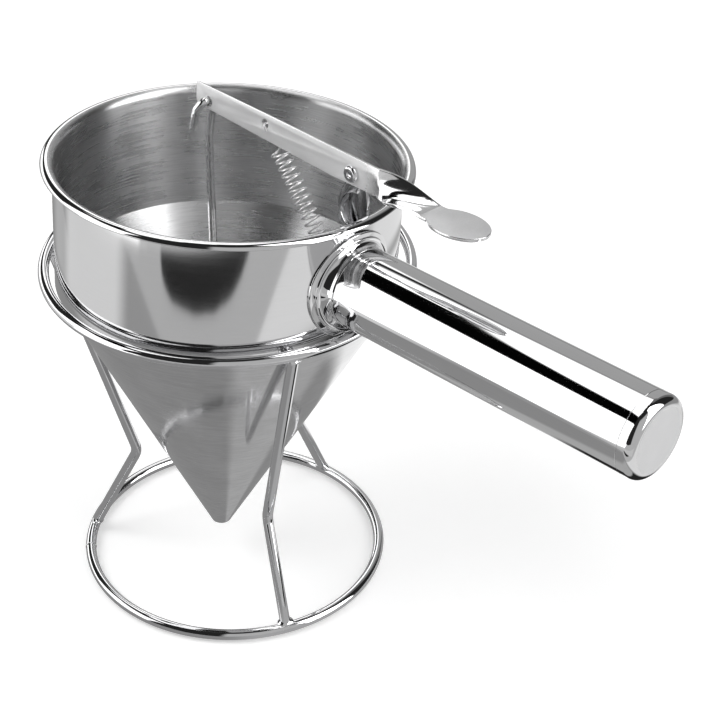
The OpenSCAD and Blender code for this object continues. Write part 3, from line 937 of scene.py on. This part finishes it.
@dataclass(frozen=True)
class Lever:
    """A flat strip that twists a quarter turn into an oval thumb pad."""

    datum: Datum
    strip_h: float = 9.8
    end_h: float = 8.4
    end_past_hook: float = 6.0
    end_rise: float = 1.3
    end_flat: float = 9.0
    taper_end: float = 9.5
    twist_from: float = 11.0
    twist_len: float = 23.0
    twist_dish: float = 2.0
    twist_flare: float = 0.35
    rise: float = 0.7
    pad_len: float = 22.4
    pad_w: float = 17.0
    pad_rise: float = -1.1
    pad_waist: float = 2.2
    spring_reach: float = 40.5
    spring_up: float = 3.3
    pivot_hole_r: float = 1.65
    hook_hole_r: float = 1.9
    spring_hole_r: float = 1.6
    edge: float = 0.22

    @property
    def satin(self) -> Finish:
        """Fine satin of the strip, its lines along it, which goes over into the polish of the twist."""
        twist = self.datum.pivot.x + self.twist_from
        return Finish("lever_satin", "lever_steel", (0.93, 0.93, 0.935), 0.34, Grain.ALONG,
                      grain_pitch=0.3, grain_depth=0.005, wear=0.05, wear_size=8.0, bloom=0.72,
                      polished_past=(twist - 9, twist + 4), mapping=ALONG_HANDLE)

    @property
    def polish(self) -> Finish:
        """Polish of the lever's edges."""
        return Finish("lever_polish", "lever_steel", (0.84, 0.84, 0.845), 0.12, Grain.ALONG, grain_pitch=0.3,
                      grain_depth=0.002, wear=0.03, wear_size=8.0, mapping=ALONG_HANDLE)

    @property
    def pad_satin(self) -> Finish:
        """Flat satin of the thumb pad."""
        return Finish("lever_pad_satin", "lever_steel", (0.66, 0.66, 0.665), 0.42, Grain.SPECKLE,
                      grain_pitch=0.35, grain_depth=0.012, wear=0.06, wear_size=6.0, bloom=0.5, shade=0.12)

    @property
    def spring_hole(self) -> Vector:
        """The middle of the hole that takes the spring's hook."""
        return self.datum.pivot + Vector((-self.spring_reach, 0, self.spring_up))

    def _middle(self, u: float, v: float) -> Vector:
        """The strip's middle surface in the twist.

        Args:
            u: 0 at the flat strip, 1 at the pad.
            v: 0 at the lower edge, 1 at the upper edge.

        Returns:
            The point.
        """
        turn = math.pi / 2 * math.sin(math.pi / 2 * u)
        dish = self.twist_dish * math.sin(math.pi * u)
        half = self.strip_h / 2 + self.twist_flare * u
        s = 2 * v - 1
        side = Vector((0, math.sin(turn), math.cos(turn)))
        face = Vector((0, -math.cos(turn), math.sin(turn)))
        rise = self.rise + (self.pad_rise - self.rise) * u
        centre = self.datum.pivot + Vector((self.twist_from + self.twist_len * u, 0, rise))
        return centre + side * (s * half) + face * (dish * (s * s - 0.5))

    def _surface(self) -> Shape:
        """The middle surface of the whole lever, without its holes."""
        shape = mapped_grid(40, 14, self._middle)
        start_x, end_x = self._middle(0, 0).x, self._middle(1, 0).x
        first = sorted((v for v in shape.verts if abs(v.co.x - start_x) < 1e-4), key=lambda v: v.co.z)
        last = sorted((v for v in shape.verts if abs(v.co.x - end_x) < 1e-4), key=lambda v: v.co.y)
        shape.faces.new([*first, *(shape.verts.new(p) for p in self._strip_outline())])
        shape.faces.new([*reversed(last), *(shape.verts.new(p) for p in self._pad_outline())])
        bmesh.ops.recalc_face_normals(shape, faces=shape.faces)
        return shape

    def _strip_outline(self) -> Path:
        """The flat strip's outline from the twist's upper edge round the hook end to its lower edge."""
        hook, pivot = self.datum.hook, self.datum.pivot
        end_x, top = hook.x - self.end_past_hook, hook.z + self.end_rise + self.end_h / 2
        bottom, low = top - self.end_h, pivot.z + self.rise - self.strip_h / 2
        corners = [self._middle(0, 1), Vector((end_x, 0, top)), Vector((end_x, 0, bottom)),
                   Vector((end_x + self.end_flat, 0, bottom)), Vector((pivot.x - self.taper_end, 0, low)),
                   self._middle(0, 0)]
        return fillet(corners, [0.5, 2.6, 30, 30], 8)[1:-1]

    def _pad_outline(self) -> Path:
        """The pad's outline from one side of the twist round the tip to the other side."""
        root, half = self._middle(1, 0).x, self.strip_h / 2 + self.twist_flare
        long, wide = self.pad_len / 2, self.pad_w / 2
        start = 174 - math.degrees(math.asin(half / wide))
        oval = [Vector((root + long + long * math.cos(a), -wide * math.sin(a), 0))
                for a in (math.radians(start - 2 * start * i / 40) for i in range(41))]
        corners = [Vector((root, -half, 0)), Vector((root + self.pad_waist, -half - 0.1, 0)), oval[0]]
        neck = fillet(corners, [1.4], 5)[1:-1]
        far = [Vector((p.x, -p.y, 0)) for p in reversed(neck)]
        height = Vector((0, 0, self.datum.pivot.z + self.pad_rise))
        return [p + height for p in neck + oval + far]

    def shape(self) -> Shape:
        """The solid lever with its three holes and eased edges."""
        work = linked("work", self._surface())
        add_modifier(work, "SOLIDIFY", thickness=self.datum.lever_t, offset=0.0, use_even_offset=True)
        holes = []
        for centre, radius in ((self.datum.pivot, self.pivot_hole_r), (self.datum.hook, self.hook_hole_r),
                               (self.spring_hole, self.spring_hole_r)):
            drill = bmesh.new()
            bmesh.ops.create_cone(drill, cap_ends=True, segments=48, radius1=radius, radius2=radius, depth=8)
            holes.append(moved(drill, Matrix.Translation(centre) @ ACROSS_LEVER))
        drills = linked("drills", joined(holes))
        add_modifier(work, "BOOLEAN", object=drills, operation="DIFFERENCE", solver="EXACT")
        add_modifier(work, "BEVEL", width=self.edge, segments=3, limit_method="ANGLE",
                     angle_limit=math.radians(50), use_clamp_overlap=False)
        shape = settled(work)
        bpy.data.objects.remove(drills)
        for face in shape.faces:
            x, normal = face.calc_center_median().x, face.normal
            if x > self._middle(1, 0).x - 0.4:
                face.material_index = 2 if normal.z > 0.9 else 1
            elif x < self._middle(0, 0).x and (abs(normal.z) > 0.5 or abs(normal.x) > 0.9):
                face.material_index = 1
        return shape

    def build(self, bench: Bench) -> None:
        """Makes the lever."""
        bench.piece("lever_strip_and_pad", self.shape(), "lever",
                    [self.satin, self.polish, self.pad_satin], "lever")


# ---------- the valve ----------


@dataclass(frozen=True)
class Valve:
    """The bent rod that hangs in the lever, and the plug at its foot."""

    datum: Datum
    rod_r: float = 1.5
    leg_len: float = 14.0
    free_leg_len: float = 10.4
    bend: float = 2.2
    wide_bend: float = 7.0
    plug_r: float = 6.0
    plug_gap: float = 0.3
    plug_top: float = 2.4
    tip_up: float = 0.5

    @property
    def drawn(self) -> Finish:
        """Bright drawn wire."""
        return Finish("rod_bright", "rod_steel", (0.84, 0.84, 0.845), 0.06, Grain.ALONG, grain_pitch=0.3,
                      grain_depth=0.0015, wear=0.04, wear_size=6.0, mapping=self.datum.axis)

    def _plug_levels(self) -> tuple[float, float, float, float]:
        """The plug's tip radius, and the heights of its tip, its widest edge and its top."""
        slope, tip_z = self.datum.slope, self.datum.outlet_z + self.tip_up
        inset = (self.datum.sheet + self.plug_gap) / math.cos(math.atan(slope))
        tip_r = self.datum.outlet_r + self.tip_up * slope - inset
        edge_z = tip_z + (self.plug_r - tip_r) / slope
        return tip_r, tip_z, edge_z, edge_z + self.plug_top

    def rod(self) -> Shape:
        """The rod with its hook through the lever."""
        x, _, z = self.datum.hook
        side = self.datum.lever_t / 2 + self.datum.hook_gap + self.rod_r
        top = self._plug_levels()[3]
        corners = [
            Vector((x - 2.9, -side - 2.5, z - self.free_leg_len)), Vector((x - 2.3, -side - 1.6, z - 3.2)),
            Vector((x - 0.4, -side, z + 0.35)), Vector((x - 0.3, side, z + 0.35)),
            Vector((x - 2.4, side - 0.1, z - self.leg_len)),
            Vector((0, 0, top + 6)), Vector((0, 0, top - 5))]
        radii = [3, self.bend, self.bend, self.wide_bend, self.wide_bend]
        return swept_wire(fillet(corners, radii, 10), self.rod_r, 0.3, 7)

    def plug(self) -> Shape:
        """The turned plug, a cone with a stepped top and a collar round the rod."""
        tip_r, tip_z, edge_z, top_z = self._plug_levels()
        wide, rod_r = self.plug_r, self.rod_r
        return lathe(
            [(0.0, tip_z), (tip_r - 0.15, tip_z), (tip_r, tip_z + 0.15), (wide - 0.08, edge_z - 0.1),
             (wide, edge_z + 0.1), (wide, edge_z + 0.7), (wide - 0.1, edge_z + 0.85),
             (wide - 1.6, top_z - 0.05), (wide - 1.75, top_z), (rod_r + 0.5, top_z),
             (rod_r + 0.2, top_z + 0.1), (rod_r, top_z + 0.5), (0.0, top_z + 0.5)],
            closed=False, segments=128)

    def build(self, bench: Bench) -> None:
        """Makes the rod and the plug."""
        bench.piece("valve_rod_wire", self.rod(), "valve", [self.drawn], "valve_rod", sharp=60)
        bench.piece("valve_plug_turned", self.plug(), "valve", [self.drawn], "valve_plug")


# ---------- the return spring ----------


@dataclass(frozen=True)
class ReturnSpring:
    """The tension spring between the lever and its lug inside the wall."""

    datum: Datum
    upper: Vector
    lug_in: float = 3.4
    lug_z: float = 20.0
    wire_r: float = 0.4
    coil_r: float = 2.85
    turns: float = 17.5
    turn_steps: int = 28
    coil_start: float = 10.7
    coil_end: float = 5.0
    coil_lead: float = 2.2
    lead_pull: float = 1.3
    hook_bend: float = 0.8
    upper_tail: float = 2.6
    lower_tail: float = 3.0

    @property
    def bright(self) -> Finish:
        """Bright spring wire."""
        return Finish("spring_bright", "spring_steel", (0.95, 0.95, 0.955), 0.16, wear=0.03, wear_size=2.0,
                      grain_pitch=0.25, grain_depth=0.001, bloom=0.35)

    @property
    def lower(self) -> Vector:
        """The middle of the lug's hole."""
        return Vector((self.datum.wall_r - self.datum.sheet - self.lug_in, 0, self.lug_z))

    def _hook(self, at: Vector, towards: Vector, reach: float, tail: float) -> Path:
        """A hook through a hole across the lever's plane.

        Args:
            at: the middle of the hole.
            towards: the direction of the coil.
            reach: how far the leg on the coil's side reaches.
            tail: the length of the free leg on the other side.

        Returns:
            The hook's points, from the free leg to the coil.
        """
        side = Vector((0, self.datum.lever_t / 2 + self.datum.hook_gap + self.wire_r, 0))
        corners = [at - side + towards * tail, at - side, at + side, at + side + towards * reach]
        return fillet(corners, [self.hook_bend] * 2, 6)

    def _lead(self, start: Vector, out: Vector, end: Vector, into: Vector) -> Path:
        """Points on a smooth curve that leaves the start along `out` and reaches the end along `into`."""
        pull = self.lead_pull
        return geometry.interpolate_bezier(start, start + pull * out, end - pull * into, end, 9)[1:-1]

    def wire(self) -> Shape:
        """The whole spring as one wire: hook, coil and hook."""
        along = (self.lower - self.upper).normalized()
        square = along.cross(Vector((0, 1, 0)))
        start = self.upper + along * self.coil_start
        length = (self.lower - self.upper).length - self.coil_start - self.coil_end
        steps = round(self.turns * self.turn_steps)
        coil = []
        for step in range(steps + 1):
            angle = FULL_TURN * (step / self.turn_steps - 0.5)
            offset = Vector((0, math.cos(angle), 0)) + square * math.sin(angle)
            coil.append(start + along * (length * step / steps) + offset * self.coil_r)
        top = self._hook(self.upper, along, self.coil_start - self.coil_lead, self.upper_tail)
        foot = self._hook(self.lower, -along, self.coil_end - self.coil_lead, self.lower_tail)[::-1]
        lead_in = self._lead(top[-1], along, coil[0], -square)
        lead_out = self._lead(coil[-1], square, foot[0], along)
        return swept_wire(top + lead_in + coil + lead_out + foot, self.wire_r, 0.1, 3)

    def build(self, bench: Bench, sheet: Finish) -> None:
        """Makes the spring, which stretches between the funnel and the lever, and its lug."""
        spring = bench.piece("return_spring_wire", self.wire(), None, [self.bright], "return_spring")
        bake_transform(spring)
        bench.eased_copy("spring_lug_tab", "spring_lug", "funnel", sheet)


# ---------- the studio ----------


@dataclass(frozen=True)
class Patch:
    """A soft-edged patch of light or shade in the surroundings that the steel reflects.

    The azimuth runs from -Y towards +X. The reach is the height in degrees for a patch of the dome,
    and the distance from the stand's axis in metres for a patch of the table. The azimuth drifts by
    `lean` degrees per unit of reach, and an oval patch is softened by shares of its own size.
    """

    name: str
    azimuth: tuple[float, float]
    reach: tuple[float, float]
    level: float
    soft: float = 4.0
    fade: float = 4.0
    lean: float = 0.0
    ragged: float = 0.0
    oval: bool = False

    def laid_on(self, below: Value, azimuth: Value, reach: Value, wobble: Value,
                wiring: Wiring) -> bpy.types.NodeSocket:
        """Lays the patch over the levels below it.

        Args:
            below: the level without the patch.
            azimuth: the direction of the point, in degrees.
            reach: the height or the distance of the point.
            wobble: a noise that roughens the patch's edge.
            wiring: the nodes to add to.

        Returns:
            The level with the patch.
        """
        (left, right), (low, high) = self.azimuth, self.reach
        half, half_reach = (right - left) / 2, (high - low) / 2
        above = wiring.math("SUBTRACT", reach, low + half_reach)
        turned = wiring.math("SUBTRACT", azimuth, left + half)
        if self.lean:
            turned = wiring.math("MULTIPLY_ADD", above, -self.lean, turned)
        aside = wiring.math("ABSOLUTE", wiring.math("WRAP", turned, 180.0, -180.0))
        above = wiring.math("ABSOLUTE", above)
        if self.oval:
            shares = wiring.node("CombineXYZ", {"X": wiring.math("DIVIDE", aside, half),
                                                "Y": wiring.math("DIVIDE", above, half_reach)}).outputs[0]
            away = wiring.node("VectorMath", {0: shares}, operation="LENGTH").outputs["Value"]
            away = wiring.math("MULTIPLY_ADD", wiring.math("SUBTRACT", wobble, 0.5), self.ragged, away)
            cover = wiring.ramp(away, 1 + self.soft, 1.0)
        else:
            cover = wiring.math("MULTIPLY", wiring.ramp(aside, half + self.soft, half),
                                wiring.ramp(above, half_reach + self.fade, half_reach))
        return wiring.node("Mix", {0: cover, 2: below, 3: self.level}, data_type="FLOAT",
                           label=self.name).outputs[0]


@dataclass(frozen=True)
class Studio:
    """A pale floor, a white background, soft lamps, and the lit room that the steel reflects."""

    floor_size: float = 4.0
    floor_z: float = -0.0008
    table_z: float = -0.0004
    floor_tone: float = 0.86
    floor_lift: float = 0.36
    world_light: float = 0.6
    room_r: float = 3.0
    room_tone: float = 0.02
    table_tone: float = 0.5
    middle: Vector = Vector((0.03, 0.0, 0.12))
    dome: tuple[Patch, ...] = (
        Patch("right_wall", (40, 90), (-5, 50), 0.5, 6, 10),
        Patch("back_wall", (176, 204), (-5, 60), 0.16, 8, 10),
        Patch("zenith", (-130, -40), (61.5, 78), 1.5, 4, 1.5),
        Patch("softbox_left", (-64, -16), (-20, 44), 1.7, 3, 2),
        Patch("card_left", (-108, -66), (-20, 15), 1.7, 3, 2),
        Patch("softbox_overhead", (-150, -90), (50, 68), 1.7, 3, 6),
        Patch("black_flag", (-94, -20), (45, 60), 0.001, 2, 1),
        Patch("grey_flag", (-170, -139), (-10, 42), 0.40, 4, 6),
        Patch("edge_card", (-136, -122), (18, 38), 1.6, 3, 3),
        Patch("softbox_right", (96, 132), (-8, 70), 4.0, 3, 8),
    )
    table: tuple[Patch, ...] = (
        Patch("left_dim", (-140, -104), (0.18, 3.2), 0.30, 18, 0.06),
        Patch("front_grey", (-70, 0), (0.30, 0.36), 0.34, 2, 0.5, lean=-260),
        Patch("left_pale", (-66, -25), (0.2, 3.2), 0.75, 12, 0.08),
        Patch("softbox_foot", (-44, -4), (0.415, 3.2), 1.7, 3, 0.01),
        Patch("dark_blob", (6, 58), (0.336, 0.482), 0.015, 0.05, oval=True, ragged=0.25),
        Patch("front_strip", (-6, 80), (0.411, 0.6), 0.6, 3, 0.002),
        Patch("right_pale", (68, 122), (0.28, 0.34), 0.80, 1.5, 0.9, lean=236),
        Patch("back_dim", (128, 206), (0.6, 3.2), 0.3, 12, 0.2),
        Patch("back_pale", (150, 210), (0.2, 0.44), 0.85, 12, 0.14),
        # painted shadow: the reflected table is darker all round the stand, standing for the shade the object
        # casts on it
        Patch("near_table_shade", (-180, 180), (-0.26, 0.262), 0.29, 4, 0.02),
        Patch("near_light", (58, 124), (-0.26, 0.24), 0.44, 18, 0.03),
        Patch("near_dark", (94, 120), (0.1, 0.25), 0.02, 5, 0.02),
        Patch("near_back", (126, 220), (0.1, 0.25), 1.0, 4, 0.02),
    )

    def _surroundings(self, name: str, shape: Shape, place: Vector, patches: Sequence[Patch],
                      tone: float, flat: bool) -> None:
        """A glowing surface that shows only in reflections.

        Args:
            name: its name.
            shape: its shape.
            place: where it stands.
            patches: its patches, each over the ones before it.
            tone: its level between the patches.
            flat: whether the patches' reach is a distance on a flat surface.
        """
        surface = linked(name, shape)
        surface.location = place
        material, wiring = new_material(name)
        point = wiring.node("TexCoord").outputs["Object"]
        split = wiring.node("SeparateXYZ", {"Vector": point})
        x, y, z = (split.outputs[axis] for axis in "XYZ")
        degrees = math.degrees(1)
        azimuth = wiring.math("ARCTAN2", x, wiring.math("MULTIPLY", y, -1.0))
        azimuth = wiring.math("MULTIPLY", azimuth, degrees)
        reach = wiring.node("VectorMath", {0: wiring.vector("MULTIPLY", point, (1, 1, 0))},
                            operation="LENGTH").outputs["Value"]
        if not flat:
            reach = wiring.math("MULTIPLY", wiring.math("ARCTAN2", z, reach), degrees)
        wobble = wiring.noise(point, 9.0, 5.0)
        level = tone
        for patch in patches:
            level = patch.laid_on(level, azimuth, reach, wobble, wiring)
        wiring.show(wiring.node("Emission", {"Strength": level}).outputs["Emission"])
        surface.data.materials.append(material)
        for rays in ("camera", "diffuse", "shadow", "transmission"):
            setattr(surface, "visible_" + rays, False)

    def _room(self) -> None:
        """The dome of softboxes and dark room, and the table top that the object stands on."""
        dome = bmesh.new()
        bmesh.ops.create_uvsphere(dome, u_segments=96, v_segments=48, radius=self.room_r)
        bmesh.ops.reverse_faces(dome, faces=dome.faces)
        self._surroundings("studio_dome", dome, self.middle, self.dome, self.room_tone, False)
        table = bmesh.new()
        bmesh.ops.create_circle(table, cap_ends=True, segments=96, radius=self.room_r)
        place = Vector((0, 0, self.table_z))
        self._surroundings("table_top", table, place, self.table, self.table_tone, True)

    def _floor(self) -> None:
        """The floor: pale, lifted to white for the camera, and still taking the object's shadow."""
        shape = bmesh.new()
        bmesh.ops.create_grid(shape, x_segments=1, y_segments=1, size=self.floor_size / 2)
        floor = linked("floor", shape)
        floor.location.z = self.floor_z
        material, wiring = new_material("pale_floor")
        cloth = wiring.node("BsdfDiffuse", {"Color": (self.floor_tone,) * 3 + (1,)})
        lift = wiring.node("Emission", {"Strength": self._seen(wiring, self.floor_lift)})
        both = wiring.node("AddShader", {0: cloth.outputs["BSDF"], 1: lift.outputs["Emission"]})
        wiring.show(both.outputs["Shader"])
        floor.data.materials.append(material)

    @staticmethod
    def _seen(wiring: Wiring, value: float) -> bpy.types.NodeSocket:
        """A value for rays that show a surface directly, in a mirror or through glass, else 0."""
        path = wiring.node("LightPath").outputs
        mirror = wiring.math("MAXIMUM", path["Is Camera Ray"], path["Is Glossy Ray"])
        shown = wiring.math("MAXIMUM", mirror, path["Is Transmission Ray"])
        return wiring.math("MULTIPLY", shown, value)

    def _world(self) -> None:
        """White where it is seen, and a plain soft light elsewhere."""
        world = bpy.data.worlds.new("studio")
        bpy.context.scene.world = world
        world.use_nodes = True
        wiring = Wiring(world.node_tree)
        strength = wiring.math("ADD", self._seen(wiring, 1 - self.world_light), self.world_light)
        wiring.show(wiring.node("Background", {"Strength": strength}).outputs["Background"], "OutputWorld")

    def _lamp(self, name: str, place: Vector, size: float, power: float) -> None:
        """A soft square lamp that lights the floor and shows in no reflection."""
        light = bpy.data.lights.new(name, "AREA")
        light.size = size
        light.energy = power
        lamp = shown(name, light)
        turn = (self.middle - place).to_track_quat("-Z", "Y")
        lamp.matrix_world = Matrix.Translation(place) @ turn.to_matrix().to_4x4()
        lamp.visible_glossy = False

    def build(self) -> None:
        """Sets the whole stage."""
        self._floor()
        self._room()
        self._world()
        self._lamp("key_lamp", Vector((-0.6, -0.9, 1.6)), 1.2, 14)
        self._lamp("fill_lamp", Vector((1.0, 0.4, 1.5)), 1.4, 9)
        bpy.context.scene.view_settings.view_transform = "Standard"


@dataclass(frozen=True)
class Viewpoint:
    """The camera: where it stands, where it looks and how it is framed for a square picture."""

    place: Vector = Vector((0.42308, -0.38825, 0.47526))
    looks: Vector = Vector((-0.57631, 0.604, -0.5505))
    roll: float = 0.654
    lens: float = 93.6
    shift: tuple[float, float] = (0.036, -0.0333)

    def build(self) -> None:
        """Sets up the camera."""
        data = bpy.data.cameras.new("viewpoint")
        data.lens = self.lens
        data.sensor_width = 36
        data.shift_x, data.shift_y = self.shift
        data.clip_start, data.clip_end = 0.01, 20
        camera = shown("viewpoint", data)
        turn = self.looks.to_track_quat("-Z", "Y") @ Quaternion((0, 0, 1), math.radians(self.roll))
        camera.matrix_world = Matrix.Translation(self.place) @ turn.to_matrix().to_4x4()
        bpy.context.scene.camera = camera


def main() -> None:
    """Builds the camera, the pieces and the stage."""
    logging.basicConfig(level=logging.INFO, format="%(name)s: %(message)s")
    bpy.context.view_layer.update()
    Viewpoint().build()
    datum = Datum.from_record(frame["record"])
    bench = Bench(datum)
    pivot = Pivot(datum)
    lever = Lever(datum)
    WireStand.from_frame().build(bench)
    Bowl(datum).build(bench)
    Handle(datum).build(bench)
    pivot.build(bench)
    lever.build(bench)
    Valve(datum).build(bench)
    ReturnSpring(datum, lever.spring_hole).build(bench, pivot.sheet)
    Studio().build()


if __name__ == "__main__":
    main()
